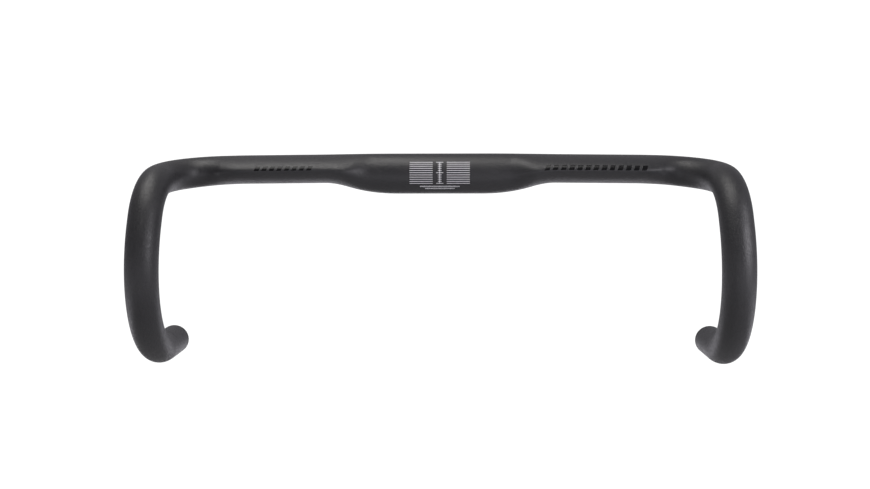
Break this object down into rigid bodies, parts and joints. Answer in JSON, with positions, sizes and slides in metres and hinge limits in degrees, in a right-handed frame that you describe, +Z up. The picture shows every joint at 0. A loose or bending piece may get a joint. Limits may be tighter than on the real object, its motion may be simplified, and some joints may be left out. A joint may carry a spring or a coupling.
{
  "type": "drop handlebar",
  "caption": "Bicycle drop handlebar with a flattened aero top, a round stem clamp barrel, compact hooks and expander plugs in the open ends.",
  "frame": {"origin": "centre of the stem clamp barrel, on its axis", "axes": "+X along the bar to the rider's left, +Y back towards the rider, +Z up"},
  "size_m": [0.4722, 0.1225, 0.1664],
  "materials": {
    "bar_finish": "satin black paint with a fine sandy grain over moulded composite",
    "white_print": "matte white print",
    "gloss_print": "gloss black print",
    "plug_plastic": "moulded nylon, fine texture",
    "plug_rubber": "matte",
    "screw_steel": "zinc plated",
    "nut_alloy": "turned"
  },
  "bodies": {
    "bar": {"centre_section": "bar_finish", "left_drop": "bar_finish", "right_drop": "bar_finish", "clamp_scale_film": "white_print", "left_stripe_film": "gloss_print", "right_stripe_film": "gloss_print"},
    "left_plug": {"left_end_cap": "plug_plastic", "left_expander_sleeve": "plug_plastic", "left_screw_washer": "screw_steel", "left_sleeve_ring": "plug_rubber"},
    "left_screw": {"left_expander_screw": "screw_steel"},
    "left_nut": {"left_wedge_nut": "nut_alloy"},
    "right_plug": {"right_end_cap": "plug_plastic", "right_expander_sleeve": "plug_plastic", "right_screw_washer": "screw_steel", "right_sleeve_ring": "plug_rubber"},
    "right_screw": {"right_expander_screw": "screw_steel"},
    "right_nut": {"right_wedge_nut": "nut_alloy"}
  },
  "joints": [
    {"name": "left_plug_pull", "type": "slide", "parent": "bar", "child": "left_plug", "axis": [0.0761, 0.9969, -0.0218], "range_m": [0, 0.04]},
    {"name": "left_screw_turn", "type": "hinge", "parent": "left_plug", "child": "left_screw", "pos_m": [0.22425, 0.02879, -0.13857], "axis": [0.0761, 0.9969, -0.0218], "range_deg": [0, 1800]},
    {"name": "left_nut_slide", "type": "slide", "parent": "left_plug", "child": "left_nut", "axis": [-0.0761, -0.9969, 0.0218], "range_m": [0, 0.0035]},
    {"name": "right_plug_pull", "type": "slide", "parent": "bar", "child": "right_plug", "axis": [-0.0761, 0.9969, -0.0218], "range_m": [0, 0.04]},
    {"name": "right_screw_turn", "type": "hinge", "parent": "right_plug", "child": "right_screw", "pos_m": [-0.22425, 0.02879, -0.13857], "axis": [-0.0761, 0.9969, -0.0218], "range_deg": [0, 1800]},
    {"name": "right_nut_slide", "type": "slide", "parent": "right_plug", "child": "right_nut", "axis": [0.0761, -0.9969, 0.0218], "range_m": [0, 0.0035]}
  ],
  "couplings": [
    {"joint": "left_screw_turn", "follows": "left_nut_slide", "rad_per_m": 8976},
    {"joint": "right_screw_turn", "follows": "right_nut_slide", "rad_per_m": 8976}
  ]
}
